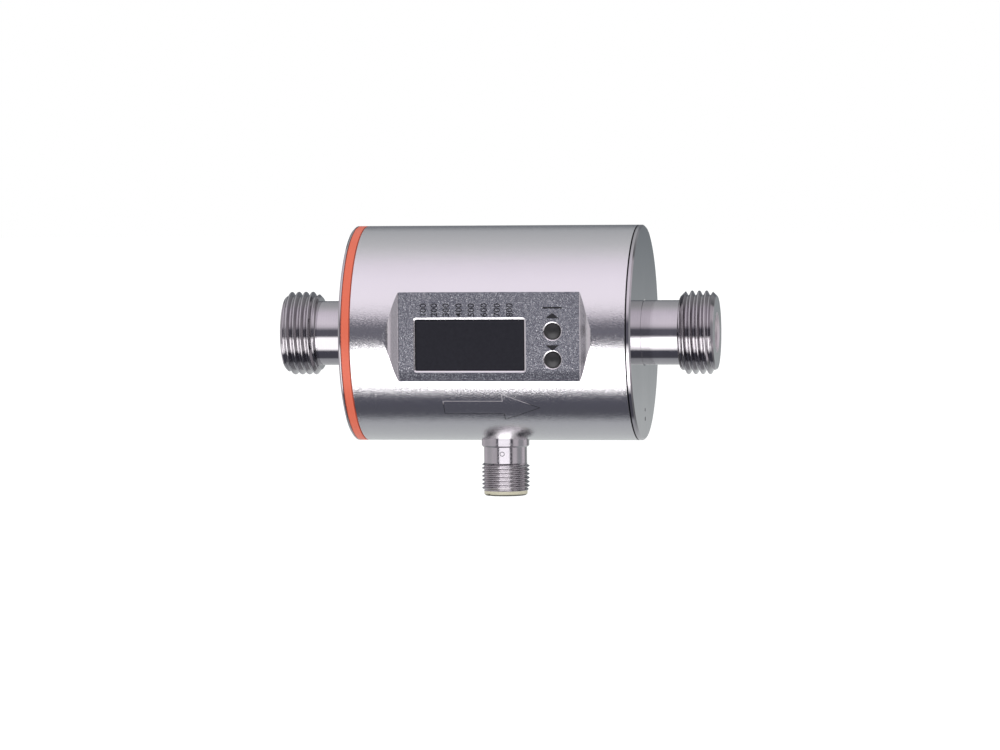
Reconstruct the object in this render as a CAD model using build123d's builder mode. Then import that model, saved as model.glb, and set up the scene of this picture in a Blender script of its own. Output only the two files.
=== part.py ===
"""Electromagnetic flow meter: a steel can on a flow tube, with a display panel and two buttons.

Millimetres. The flow bore lies on the X axis, from the inlet at -X to the outlet at +X.
The display panel faces -Y, and the cable connector points down, along -Z.
"""

import os
from math import radians, tan

from build123d import *

# Clearances, and how far a cutting shape runs past what it cuts
seat_clearance = 0.05
cut_overrun = 1.0
end_clearance = 0.1
button_clearance = 0.1
window_clearance = 0.06

# Housing can
housing_radius = 27.0
sleeve_wall = 1.2
housing_half_length = 36.5
inlet_rim = 0.68
outlet_rim = 1.12
ring_width = 2.22
seam_chamfer = 0.1
seam_width = 0.2
seam_depth = 0.4
plate_bevel = 0.4
plate_bore_chamfer = 0.2
plate_thickness = 1.8
ring_spigot_wall = 1.6
plate_spigot_wall = 1.8
spigot_length = 4.0

# Display recess, a flat pressed into the front of the can
panel_center_x = 1.0
panel_length = 45.4
panel_depth = 2.36
panel_end_slope = 45
panel_crease = 0.6
shoulder_slope = 4
shoulder_depth = 0.1
shoulder_radius = 3.0

# Display window and its seal
window_length = 27.4
window_height = 12.75
window_center_x = -4.83
window_center_z = -2.05
window_corner = 0.35
window_rim_width = 0.4
window_rim_depth = 0.2
window_setback = 0.2
pane_bevel = 0.25
window_flange = 1.6
window_flange_thickness = 1.0
gasket_thickness = 0.5

# Push buttons
button_radius = 1.87
button_pitch = 7.04
button_center_x = 15.86
button_upper_z = 1.3
button_dome = 0.5
button_land = 0.1
button_rim_width = 0.4
button_rim_depth = 0.2
button_flange = 0.6
button_flange_thickness = 0.6
button_flange_gap = 0.1
button_stem_radius = 1.0
button_travel = 0.5
button_stop_gap = 0.05
switch_size = 4.6
switch_height = 1.8

# Flow tube and pipe fittings
flow_bore_radius = 4.5
overall_half_length = 54.8
stub_radius = 8.1
thread_major_radius = 10.4775
thread_length = 9.0
thread_end_chamfer = 1.35
thread_back_chamfer = 1.35
bore_mouth_chamfer = 0.5
fitting_collar_radius = 11.0
fitting_collar_thickness = 2.0
fitting_inner_end = 24.0
socket_depth = 6.0
socket_wall = 2.4
tube_radius = 7.0
tube_block_length = 24.0
tube_block_depth = 16.0
tube_block_height = 14.0

# Square-cut seals
seal_section = 1.0
seal_groove_play = 0.3
tube_seal_from_end = 2.9
spigot_seal_from_end = 1.4

# Electrodes and temperature probe
electrode_stem_radius = 0.8
electrode_seal_radius = 1.5
electrode_reach = 2.8
electrode_nut_size = 3.6
electrode_nut_height = 1.6
electrode_seal_depth = 1.1
probe_x = 10.0
probe_radius = 1.2
probe_reach = 6.0
probe_hex_size = 3.6
probe_hex_height = 2.4

# Magnet system
pole_shoe_radius = 6.0
pole_shoe_thickness = 1.5
pole_stem_radius = 3.0
pole_height = 11.0
bobbin_wall = 0.8
bobbin_radius = 7.5
coil_radius = 7.2
yoke_thickness = 1.5
yoke_width = 14.0
yoke_depth = 26.0
yoke_corner = 3.0

# Boards and carriers
board_thickness = 1.6
carrier_thickness = 1.9
carrier_height = 26.0
carrier_rib_thickness = 1.5
carrier_rib_reach = 4.0
carrier_rib_height = 12.0
post_height = 1.6
post_radius = 2.0
display_board_length = 46.0
display_board_height = 20.0
display_post_span_x = 40.0
display_post_span_z = 16.0
main_board_length = 52.0
main_board_height = 30.0
main_post_span_x = 44.0
main_post_span_z = 22.0
screw_radius = 0.8
screw_head_radius = 1.5
screw_head_height = 1.1
screw_grip = 3.2
screw_length = 4.6
processor = {"length": 9.0, "height": 9.0, "rise": 1.4, "x": -6.0, "z": 2.0}
coil_driver = {"length": 6.0, "height": 5.0, "rise": 1.2, "x": 6.0, "z": -6.0}
capacitor = {"length": 8.0, "height": 7.0, "rise": 3.6, "x": -17.0, "z": -3.0}
signal_amplifier = {"length": 5.0, "height": 4.0, "rise": 1.2, "x": 7.0, "z": 6.0}
module_length = 26.0
module_height = 11.4
cable_x = 12.5
cable_width = 8.0
cable_thickness = 0.3
cable_rise = 17.6
cable_tail = 4.0
cable_bend = 6.0

# Cable connector
collar_radius = 5.95
collar_bottom = -28.65
collar_chamfer = 0.35
neck_radius = 5.42
neck_length = 4.05
connector_thread_radius = 6.0
connector_thread_length = 7.0
connector_thread_chamfer = 0.5
spigot_radius = 5.0
spigot_rise = 1.2
cup_radius = 4.9
cup_bore_radius = 4.3
cup_depth = 9.0
insert_rim_radius = 5.45
insert_rim_height = 1.2
insert_rim_chamfer = 0.4
insert_neck_radius = 3.9
insert_floor_thickness = 1.0
insert_rise = 0.6
connector_seal_thickness = 0.5
insert_notch = 1.2
insert_notch_angle = 227
key_width = 1.0
key_setback = 1.0
key_reach = 0.8
pin_radius = 0.5
pin_circle_radius = 2.5
pin_reach = 7.3
pin_tail = 2.0
pin_clearance = 0.02

# Planes and radii worked out from the sizes above
sleeve_bore = housing_radius - sleeve_wall
ring_face = -housing_half_length + inlet_rim
sleeve_start = ring_face + ring_width
sleeve_end = housing_half_length - outlet_rim
panel_y = -(housing_radius - panel_depth)
panel_back_y = panel_y + sleeve_wall
window_x = panel_center_x + window_center_x
button_x = panel_center_x + button_center_x
button_places = {"mode": button_upper_z, "set": button_upper_z - button_pitch}
fitting_seat = housing_half_length - plate_thickness
thread_start = overall_half_length - thread_length
socket_bottom = fitting_inner_end + socket_depth
socket_radius = tube_radius + seat_clearance
tube_half_length = socket_bottom - end_clearance
block_top = tube_block_height / 2
block_front = tube_block_depth / 2
yoke_front = yoke_depth / 2
carrier_face = yoke_front + end_clearance + carrier_thickness
board_back = carrier_face + post_height
board_front = board_back + board_thickness
connector_x = panel_center_x
thread_top = collar_bottom - neck_length
thread_bottom = thread_top - connector_thread_length
insert_bottom = thread_bottom - insert_rim_height
cup_floor = insert_bottom + cup_depth
seal_top = cup_floor + insert_floor_thickness

os.makedirs("parts", exist_ok=True)


def write(piece, name):
    """Label a finished piece and write it as its own file."""
    piece.part.label = name
    export_step(piece.part, f"parts/{name}.step")


def turned(outline):
    """A turned piece: an outline of (x, radius) points, closed and spun about the flow axis."""
    with BuildPart() as piece:
        with BuildSketch(Plane.XY):
            with BuildLine():
                Polyline(*outline, close=True)
            make_face()
        revolve(axis=Axis.X)
    return piece


def turned_down(outline):
    """A turned piece on the connector's axis: an outline of (radius, z) points."""
    with BuildPart() as piece:
        with BuildSketch(Plane.XZ.move(Location((connector_x, 0, 0)))):
            with BuildLine():
                Polyline(*outline, close=True)
            make_face()
        revolve(axis=Axis((connector_x, 0, 0), (0, 0, 1)))
    return piece


def seal_ring(outer_radius, places):
    """Square-cut seals about the flow axis, one at each place along it."""
    with BuildPart() as piece:
        for place in places:
            with BuildSketch(Plane.YZ.offset(place - seal_section / 2)):
                Circle(outer_radius)
                Circle(outer_radius - seal_section, mode=Mode.SUBTRACT)
            extrude(amount=seal_section)
    return piece


# Sleeve: a drawn tube with the display flat pressed in, its wall the same all over. The flat's ends
# slope up to the can, with a rounded crease below and a rolled shoulder above.
slope_run = (panel_depth - shoulder_depth) / tan(radians(panel_end_slope))
shoulder_rise = housing_radius / 2
shoulder_run = (shoulder_depth + shoulder_rise) / tan(radians(shoulder_slope))
half_floor = panel_length / 2
half_mouth = half_floor + slope_run
half_width = half_mouth + shoulder_run
with BuildSketch() as outer_recess:
    with BuildLine(Plane.XY.move(Location((panel_center_x, 0, 0)))):
        Polyline(
            (-half_floor, panel_y),
            (-half_mouth, -housing_radius + shoulder_depth),
            (-half_width, -housing_radius - shoulder_rise),
            (half_width, -housing_radius - shoulder_rise),
            (half_mouth, -housing_radius + shoulder_depth),
            (half_floor, panel_y),
            close=True,
        )
    make_face()
    fillet(outer_recess.vertices().group_by(Axis.Y)[-1], panel_crease)
    fillet(outer_recess.vertices().group_by(Axis.Y)[1], shoulder_radius)

with BuildSketch() as inner_recess:
    add(outer_recess.sketch)
    offset(amount=sleeve_wall)

with BuildPart() as sleeve_hollow:
    with BuildSketch(Plane.YZ.offset(sleeve_start - cut_overrun)):
        Circle(sleeve_bore)
    extrude(amount=sleeve_end - sleeve_start + 2 * cut_overrun)
    with BuildSketch(Plane.XY):
        add(inner_recess.sketch)
    extrude(amount=housing_radius, both=True, mode=Mode.SUBTRACT)

with BuildPart() as housing_sleeve:
    with BuildSketch(Plane.YZ.offset(sleeve_start)):
        Circle(housing_radius)
    extrude(amount=sleeve_end - sleeve_start)
    with BuildSketch(Plane.YZ.offset(sleeve_end - seam_width)):
        Circle(housing_radius)
        Circle(housing_radius - seam_depth, mode=Mode.SUBTRACT)
    extrude(amount=seam_width, mode=Mode.SUBTRACT)
    rims = housing_sleeve.edges().filter_by(GeomType.CIRCLE).group_by(SortBy.RADIUS)[-1]
    chamfer(rims, seam_chamfer)
    with BuildSketch(Plane.XY):
        add(outer_recess.sketch)
    extrude(amount=housing_radius, both=True, mode=Mode.SUBTRACT)
    add(sleeve_hollow.part, mode=Mode.SUBTRACT)
    with BuildSketch(Plane.XZ.offset(-panel_y)):
        with Locations((window_x, window_center_z)):
            RectangleRounded(window_length, window_height, window_corner)
        for place_z in button_places.values():
            with Locations((button_x, place_z)):
                Circle(button_radius + button_clearance)
    extrude(amount=-sleeve_wall, mode=Mode.SUBTRACT)
    panel_face = housing_sleeve.faces().filter_by(Plane.XZ).sort_by(Axis.Y)[0]
    openings = panel_face.inner_wires().sort_by(SortBy.LENGTH)
    button_edges = [edge for wire in openings[:-1] for edge in wire.edges()]
    chamfer(openings[-1].edges(), window_rim_width, window_rim_depth, reference=panel_face)
    panel_face = housing_sleeve.faces().filter_by(Plane.XZ).sort_by(Axis.Y)[0]
    chamfer(button_edges, button_rim_width, button_rim_depth, reference=panel_face)
    with BuildSketch(Plane.XY.offset(-housing_radius)):
        with Locations((connector_x, 0)):
            Circle(spigot_radius + seat_clearance)
    extrude(amount=housing_radius / 2, mode=Mode.SUBTRACT)
write(housing_sleeve, "housing_sleeve")

# Insulating ring: a moulded ring that keeps the inlet plate off the can
ring_bore = sleeve_bore - seat_clearance - ring_spigot_wall
ring_spigot_end = sleeve_start + spigot_length
ring_groove_x = ring_spigot_end - spigot_seal_from_end
ring_groove_floor = sleeve_bore - seal_section
groove_half = (seal_section + seal_groove_play) / 2
insulating_ring = turned(
    [
        (ring_face, ring_bore),
        (ring_face, housing_radius - seam_depth),
        (ring_face + seam_width, housing_radius - seam_depth),
        (ring_face + seam_width, housing_radius),
        (sleeve_start - seam_width, housing_radius),
        (sleeve_start - seam_width, housing_radius - seam_depth),
        (sleeve_start, housing_radius - seam_depth),
        (sleeve_start, sleeve_bore - seat_clearance),
        (ring_groove_x - groove_half, sleeve_bore - seat_clearance),
        (ring_groove_x - groove_half, ring_groove_floor),
        (ring_groove_x + groove_half, ring_groove_floor),
        (ring_groove_x + groove_half, sleeve_bore - seat_clearance),
        (ring_spigot_end, sleeve_bore - seat_clearance),
        (ring_spigot_end, ring_bore),
    ]
)
write(insulating_ring, "insulating_ring")
write(seal_ring(sleeve_bore, [ring_groove_x]), "ring_seal")


def end_plate(side, rim, spigot_radius_out, groove_x):
    """An end plate: a turned cap with a bevelled face and a grooved spigot, on one side of the can."""
    face = side * housing_half_length
    shoulder = side * (housing_half_length - rim)
    back = side * (housing_half_length - plate_thickness)
    spigot_end = shoulder - side * (spigot_length + ring_width * (side < 0))
    groove_floor = spigot_radius_out + seat_clearance - seal_section
    return turned(
        [
            (face - side * plate_bore_chamfer, stub_radius + seat_clearance),
            (face, stub_radius + seat_clearance + plate_bore_chamfer),
            (face, housing_radius - plate_bevel),
            (face - side * plate_bevel, housing_radius),
            (shoulder + side * seam_chamfer, housing_radius),
            (shoulder, housing_radius - seam_chamfer),
            (shoulder, spigot_radius_out),
            (groove_x + side * groove_half, spigot_radius_out),
            (groove_x + side * groove_half, groove_floor),
            (groove_x - side * groove_half, groove_floor),
            (groove_x - side * groove_half, spigot_radius_out),
            (spigot_end, spigot_radius_out),
            (spigot_end, spigot_radius_out - plate_spigot_wall),
            (back, spigot_radius_out - plate_spigot_wall),
            (back, stub_radius + seat_clearance),
        ]
    )


# End plates: the inlet one sits inside the insulating ring, the outlet one inside the can
inlet_spigot_radius = ring_bore - seat_clearance
inlet_groove_x = ring_spigot_end - spigot_seal_from_end
write(end_plate(-1, inlet_rim, inlet_spigot_radius, inlet_groove_x), "inlet_end_plate")
write(seal_ring(ring_bore, [inlet_groove_x]), "inlet_plate_seal")

outlet_spigot_radius = sleeve_bore - seat_clearance
outlet_groove_x = sleeve_end - spigot_length + spigot_seal_from_end
write(end_plate(1, outlet_rim, outlet_spigot_radius, outlet_groove_x), "outlet_end_plate")
write(seal_ring(sleeve_bore, [outlet_groove_x]), "outlet_plate_seal")


def pipe_fitting(side):
    """A pipe fitting: a turned stub with an external pipe thread, collared behind the end plate."""
    end = overall_half_length
    outline = [
        (end, flow_bore_radius + bore_mouth_chamfer),
        (end, thread_major_radius - thread_end_chamfer),
        (end - thread_end_chamfer, thread_major_radius),
        (thread_start + thread_back_chamfer, thread_major_radius),
        (thread_start, thread_major_radius - thread_back_chamfer),
        (thread_start, stub_radius),
        (fitting_seat, stub_radius),
        (fitting_seat, fitting_collar_radius),
        (fitting_seat - fitting_collar_thickness, fitting_collar_radius),
        (fitting_seat - fitting_collar_thickness, socket_radius + socket_wall),
        (fitting_inner_end, socket_radius + socket_wall),
        (fitting_inner_end, socket_radius),
        (socket_bottom, socket_radius),
        (socket_bottom, flow_bore_radius),
        (end - bore_mouth_chamfer, flow_bore_radius),
    ]
    return turned([(side * x, radius) for x, radius in outline])


# Pipe fittings, the same at both ends
write(pipe_fitting(-1), "inlet_fitting")
write(pipe_fitting(1), "outlet_fitting")

# Measuring tube: a moulded liner with a flat-sided block where the poles and electrodes seat
front_side = Plane.XZ
rear_side = Plane.XZ.rotated((180, 0, 0))
seal_places = [-tube_half_length + tube_seal_from_end, tube_half_length - tube_seal_from_end]
tube_groove_floor = socket_radius - seal_section
with BuildPart() as measuring_tube:
    with BuildSketch(Plane.YZ.offset(-tube_half_length)):
        Circle(tube_radius)
    extrude(amount=2 * tube_half_length)
    for place in seal_places:
        with BuildSketch(Plane.YZ.offset(place - groove_half)):
            Circle(tube_radius)
            Circle(tube_groove_floor, mode=Mode.SUBTRACT)
        extrude(amount=2 * groove_half, mode=Mode.SUBTRACT)
    Box(tube_block_length, tube_block_depth, tube_block_height)
    chamfer(measuring_tube.edges().filter_by(Axis.X), bore_mouth_chamfer)
    with BuildSketch(Plane.YZ.offset(-tube_half_length)):
        Circle(flow_bore_radius)
    extrude(amount=2 * tube_half_length, mode=Mode.SUBTRACT)
    with BuildSketch(Plane.XZ):
        Circle(electrode_stem_radius + seat_clearance)
    extrude(amount=tube_block_depth, both=True, mode=Mode.SUBTRACT)
    for side in (front_side, rear_side):
        with BuildSketch(side.offset(block_front)):
            Circle(electrode_seal_radius + seat_clearance)
        extrude(amount=-electrode_seal_depth, mode=Mode.SUBTRACT)
    with BuildSketch(Plane.XY):
        with Locations((probe_x, 0)):
            Circle(probe_radius + seat_clearance)
    extrude(amount=block_top, mode=Mode.SUBTRACT)
write(measuring_tube, "measuring_tube")
write(seal_ring(socket_radius, seal_places), "tube_seals")

# Electrodes: headed pins that end flush with the bore, each with a seal and a nut
electrode_end = block_front + electrode_reach
for name, side in (("front_electrode", front_side), ("rear_electrode", rear_side)):
    with BuildPart() as electrode:
        with BuildSketch(side.offset(flow_bore_radius + seat_clearance)):
            Circle(electrode_stem_radius)
        extrude(amount=electrode_end - flow_bore_radius - seat_clearance)
    write(electrode, name)

with BuildPart() as electrode_seals:
    for side in (front_side, rear_side):
        with BuildSketch(side.offset(block_front - electrode_seal_depth)):
            Circle(electrode_seal_radius)
            Circle(electrode_stem_radius + seat_clearance, mode=Mode.SUBTRACT)
        extrude(amount=electrode_seal_depth)
write(electrode_seals, "electrode_seals")

with BuildPart() as electrode_nuts:
    for side in (front_side, rear_side):
        with BuildSketch(side.offset(block_front)):
            RegularPolygon(electrode_nut_size / 2, 6, major_radius=False)
            Circle(electrode_stem_radius + seat_clearance, mode=Mode.SUBTRACT)
        extrude(amount=electrode_nut_height)
write(electrode_nuts, "electrode_nuts")

# Temperature probe: a headed pin screwed into the block from above
with BuildPart() as temperature_probe:
    with BuildSketch(Plane.XY.offset(flow_bore_radius + seat_clearance)):
        with Locations((probe_x, 0)):
            Circle(probe_radius)
    extrude(amount=block_top + probe_reach - flow_bore_radius - seat_clearance)
    with BuildSketch(Plane.XY.offset(block_top)):
        with Locations((probe_x, 0)):
            RegularPolygon(probe_hex_size / 2, 6, major_radius=False)
    extrude(amount=probe_hex_height)
write(temperature_probe, "temperature_probe")

# Magnet system: two pole cores with coils on bobbins, closed by a bent iron yoke
shoe_top = block_top + pole_shoe_thickness
pole_top = block_top + pole_height
bobbin_bore = pole_stem_radius + seat_clearance
for level, side in (("upper", Plane.XY), ("lower", Plane.XY.rotated((180, 0, 0)))):
    with BuildPart() as pole_core:
        with BuildSketch(side.offset(block_top)):
            Circle(pole_shoe_radius)
        extrude(amount=pole_shoe_thickness)
        with BuildSketch(side.offset(shoe_top)):
            Circle(pole_stem_radius)
        extrude(amount=pole_top - shoe_top)
    write(pole_core, level + "_pole_core")

    with BuildPart() as bobbin:
        for start in (shoe_top, pole_top - bobbin_wall):
            with BuildSketch(side.offset(start)):
                Circle(bobbin_radius)
                Circle(bobbin_bore, mode=Mode.SUBTRACT)
            extrude(amount=bobbin_wall)
        with BuildSketch(side.offset(shoe_top)):
            Circle(bobbin_bore + bobbin_wall)
            Circle(bobbin_bore, mode=Mode.SUBTRACT)
        extrude(amount=pole_top - shoe_top)
    write(bobbin, level + "_bobbin")

    with BuildPart() as coil:
        with BuildSketch(side.offset(shoe_top + bobbin_wall)):
            Circle(coil_radius)
            Circle(bobbin_bore + bobbin_wall, mode=Mode.SUBTRACT)
        extrude(amount=pole_top - shoe_top - 2 * bobbin_wall)
    write(coil, level + "_coil")

with BuildPart() as magnet_yoke:
    with BuildSketch(Plane.YZ.offset(-yoke_width / 2)):
        RectangleRounded(yoke_depth, 2 * pole_top + 2 * yoke_thickness, yoke_corner)
        RectangleRounded(
            yoke_depth - 2 * yoke_thickness,
            2 * pole_top,
            yoke_corner - yoke_thickness,
            mode=Mode.SUBTRACT,
        )
    extrude(amount=yoke_width)
write(magnet_yoke, "magnet_yoke")


def carrier(side, length, center_x, span_x, span_z):
    """A moulded carrier: a plate on the yoke, with ribs astride it and four posts for a board."""
    with BuildPart() as piece:
        with BuildSketch(side.offset(carrier_face - carrier_thickness)):
            with Locations((center_x, 0)):
                RectangleRounded(length, carrier_height, post_radius)
        extrude(amount=carrier_thickness)
        rib_x = yoke_width / 2 + end_clearance + carrier_rib_thickness / 2
        with BuildSketch(side.offset(carrier_face - carrier_thickness)):
            with Locations((-rib_x, 0), (rib_x, 0)):
                Rectangle(carrier_rib_thickness, carrier_rib_height)
        extrude(amount=-carrier_rib_reach)
        with BuildSketch(side.offset(carrier_face)):
            with Locations((center_x, 0)):
                with GridLocations(span_x, span_z, 2, 2):
                    Circle(post_radius)
        extrude(amount=post_height)
        with BuildSketch(side.offset(board_back)):
            with Locations((center_x, 0)):
                with GridLocations(span_x, span_z, 2, 2):
                    Circle(screw_radius + seat_clearance)
        extrude(amount=-screw_grip, mode=Mode.SUBTRACT)
    return piece


def board(side, length, height, center_x, span_x, span_z):
    """A circuit board with its four screw holes."""
    with BuildPart() as piece:
        with BuildSketch(side.offset(board_back)):
            with Locations((center_x, 0)):
                Rectangle(length, height)
                with GridLocations(span_x, span_z, 2, 2):
                    Circle(screw_radius + seat_clearance, mode=Mode.SUBTRACT)
        extrude(amount=board_thickness)
    return piece


# Carriers: the front one holds the display board, the rear one the main board
front_carrier = carrier(
    front_side, display_board_length, panel_center_x, display_post_span_x, display_post_span_z
)
write(front_carrier, "front_carrier")
rear_carrier = carrier(
    rear_side, main_board_length, panel_center_x, main_post_span_x, main_post_span_z
)
write(rear_carrier, "rear_carrier")

# Circuit boards: the display board behind the panel, the main board at the back with its chips
display_board = board(
    front_side,
    display_board_length,
    display_board_height,
    panel_center_x,
    display_post_span_x,
    display_post_span_z,
)
write(display_board, "display_board")

bare_main_board = board(
    rear_side,
    main_board_length,
    main_board_height,
    panel_center_x,
    main_post_span_x,
    main_post_span_z,
)
with BuildPart() as main_board:
    add(bare_main_board.part)
    for chip in (processor, coil_driver, capacitor, signal_amplifier):
        with BuildSketch(rear_side.offset(board_front)):
            with Locations((panel_center_x + chip["x"], chip["z"])):
                Rectangle(chip["length"], chip["height"])
        extrude(amount=chip["rise"])
write(main_board, "main_board")

# Board screws: pan heads on both boards, one screw into each post
with BuildPart() as board_screws:
    for side, span_x, span_z in (
        (front_side, display_post_span_x, display_post_span_z),
        (rear_side, main_post_span_x, main_post_span_z),
    ):
        for radius, start, length in (
            (screw_radius, board_front - screw_length, screw_length),
            (screw_head_radius, board_front, screw_head_height),
        ):
            with BuildSketch(side.offset(start)):
                with Locations((panel_center_x, 0)):
                    with GridLocations(span_x, span_z, 2, 2):
                        Circle(radius)
            extrude(amount=length)
write(board_screws, "board_screws")

# Display cable: a flat strip from the display board over the magnet to the main board
cable_y = board_back - cable_thickness / 2
with BuildPart() as display_cable:
    with BuildSketch(Plane.YZ.offset(cable_x - cable_width / 2)):
        with BuildLine():
            FilletPolyline(
                (-cable_y, cable_tail),
                (-cable_y, cable_rise),
                (cable_y, cable_rise),
                (cable_y, cable_tail),
                radius=cable_bend,
            )
            offset(amount=cable_thickness / 2, side=Side.BOTH)
        make_face()
    extrude(amount=cable_width)
write(display_cable, "display_cable")

# Display module and tactile switches, soldered to the front of the display board
window_back_y = panel_back_y + gasket_thickness + window_flange_thickness
with BuildPart() as display_module:
    with BuildSketch(Plane.XZ.offset(board_front)):
        with Locations((window_x, window_center_z)):
            RectangleRounded(module_length, module_height, window_corner)
    extrude(amount=-window_back_y - board_front - end_clearance)
write(display_module, "display_module")

# Buttons: domed caps in the panel, flanged behind it, each with a stem down to its switch
switch_top_y = -(board_front + switch_height)
stem_end_y = switch_top_y - button_travel - button_stop_gap
flange_front_y = panel_back_y + button_flange_gap
rim = (button_x + button_radius, panel_y - button_land)
crown = (button_x, panel_y - button_land - button_dome)
dome_sphere = (button_radius**2 + button_dome**2) / (2 * button_dome)
for name, place_z in button_places.items():
    with BuildPart() as tact_switch:
        with BuildSketch(Plane.XZ.offset(board_front)):
            with Locations((button_x, place_z)):
                RectangleRounded(switch_size, switch_size, button_flange)
        extrude(amount=switch_height)
    write(tact_switch, name + "_switch")

    with BuildPart() as button:
        with BuildSketch(Plane.XY.offset(place_z)):
            with BuildLine():
                RadiusArc(crown, rim, -dome_sphere)
                Polyline(
                    rim,
                    (button_x + button_radius, flange_front_y),
                    (button_x + button_radius + button_flange, flange_front_y),
                    (button_x + button_radius + button_flange, flange_front_y + button_flange_thickness),
                    (button_x + button_stem_radius, flange_front_y + button_flange_thickness),
                    (button_x + button_stem_radius, stem_end_y),
                    (button_x, stem_end_y),
                    crown,
                )
            make_face()
        revolve(axis=Axis((button_x, 0, place_z), (0, 1, 0)))
    write(button, name + "_button")

# Display window: a dark pane that fills the opening, flanged behind the panel on a flat gasket
with BuildPart() as display_window:
    with BuildSketch(Plane.XZ.offset(-panel_y - window_setback)):
        with Locations((window_x, window_center_z)):
            RectangleRounded(
                window_length - 2 * window_clearance,
                window_height - 2 * window_clearance,
                window_corner - window_clearance,
            )
    extrude(amount=panel_y + window_setback - window_back_y)
    chamfer(display_window.edges().group_by(Axis.Y)[0], pane_bevel)
    with BuildSketch(Plane.XZ.offset(-window_back_y)):
        with Locations((window_x, window_center_z)):
            RectangleRounded(
                window_length + 2 * window_flange,
                window_height + 2 * window_flange,
                window_corner + window_flange,
            )
    extrude(amount=window_flange_thickness)
write(display_window, "display_window")

with BuildPart() as window_gasket:
    with BuildSketch(Plane.XZ.offset(-panel_back_y - gasket_thickness)):
        with Locations((window_x, window_center_z)):
            RectangleRounded(
                window_length + 2 * window_flange,
                window_height + 2 * window_flange,
                window_corner + window_flange,
            )
            RectangleRounded(window_length, window_height, window_corner, mode=Mode.SUBTRACT)
    extrude(amount=gasket_thickness)
write(window_gasket, "window_gasket")

# Connector shell: a turned steel nipple, its collar cut to sit on the round of the can
shell_top = -sleeve_bore + spigot_rise
insert_neck_bore = insert_neck_radius + seat_clearance
shell_blank = turned_down(
    [
        (cup_radius, thread_bottom),
        (connector_thread_radius - connector_thread_chamfer, thread_bottom),
        (connector_thread_radius, thread_bottom + connector_thread_chamfer),
        (connector_thread_radius, thread_top - connector_thread_chamfer),
        (neck_radius, thread_top),
        (neck_radius, collar_bottom),
        (collar_radius - collar_chamfer, collar_bottom),
        (collar_radius, collar_bottom + collar_chamfer),
        (collar_radius, shell_top),
        (insert_neck_bore, shell_top),
        (insert_neck_bore, seal_top),
        (cup_radius, seal_top),
    ]
)
with BuildPart() as connector_shell:
    add(shell_blank.part)
    with BuildSketch(Plane.YZ.offset(sleeve_start)):
        Circle(housing_radius)
    extrude(amount=sleeve_end - sleeve_start, mode=Mode.SUBTRACT)
    with BuildSketch(Plane.XY.offset(shell_top)):
        with Locations((connector_x, 0)):
            Circle(spigot_radius)
            Circle(insert_neck_bore, mode=Mode.SUBTRACT)
    extrude(amount=-housing_radius - shell_top)
write(connector_shell, "connector_shell")

# Connector insert: a moulded cup with a rim, a coding key inside and a notch in the rim
insert_radius = cup_radius - seat_clearance
insert_shoulder = seal_top - connector_seal_thickness
insert_top = shell_top + insert_rise
insert_blank = turned_down(
    [
        (cup_bore_radius, insert_bottom),
        (insert_rim_radius - insert_rim_chamfer, insert_bottom),
        (insert_rim_radius, insert_bottom + insert_rim_chamfer),
        (insert_rim_radius, thread_bottom),
        (insert_radius, thread_bottom),
        (insert_radius, insert_shoulder),
        (insert_neck_radius, insert_shoulder),
        (insert_neck_radius, insert_top),
        (0, insert_top),
        (0, cup_floor),
        (cup_bore_radius, cup_floor),
    ]
)
pin_angles = [45, 135, 225, 315]
with BuildPart() as connector_insert:
    add(insert_blank.part)
    with BuildSketch(Plane.XY.offset(insert_bottom + key_setback)):
        with Locations((connector_x, cup_bore_radius - key_reach / 2)):
            Rectangle(key_width, key_reach + 2 * seat_clearance)
    extrude(amount=cup_floor - insert_bottom - key_setback)
    with BuildSketch(Plane.XY.offset(insert_bottom)):
        with Locations(Location((connector_x, 0, 0), (0, 0, 1), insert_notch_angle)):
            with Locations((insert_rim_radius, 0)):
                Rectangle(insert_notch, insert_notch)
    extrude(amount=insert_rim_height / 2, mode=Mode.SUBTRACT)
    with BuildSketch(Plane.XY.offset(cup_floor)):
        with Locations((connector_x, 0)):
            with PolarLocations(pin_circle_radius, len(pin_angles), start_angle=pin_angles[0]):
                Circle(pin_radius + pin_clearance)
    extrude(amount=insert_top - cup_floor, mode=Mode.SUBTRACT)
write(connector_insert, "connector_insert")

with BuildPart() as contact_pins:
    with BuildSketch(Plane.XY.offset(cup_floor - pin_reach)):
        with Locations((connector_x, 0)):
            with PolarLocations(pin_circle_radius, len(pin_angles), start_angle=pin_angles[0]):
                Circle(pin_radius)
    extrude(amount=pin_reach + insert_top - cup_floor + pin_tail)
    chamfer(contact_pins.edges().group_by(Axis.Z)[0], pin_radius / 2)
write(contact_pins, "contact_pins")

with BuildPart() as connector_seal:
    with BuildSketch(Plane.XY.offset(insert_shoulder)):
        with Locations((connector_x, 0)):
            Circle(insert_radius)
            Circle(insert_neck_bore, mode=Mode.SUBTRACT)
    extrude(amount=connector_seal_thickness)
write(connector_seal, "connector_seal")
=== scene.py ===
from math import cos, pi, radians, sin, sqrt, tan

import bmesh
import bpy
from mathutils import Matrix, Vector


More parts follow.
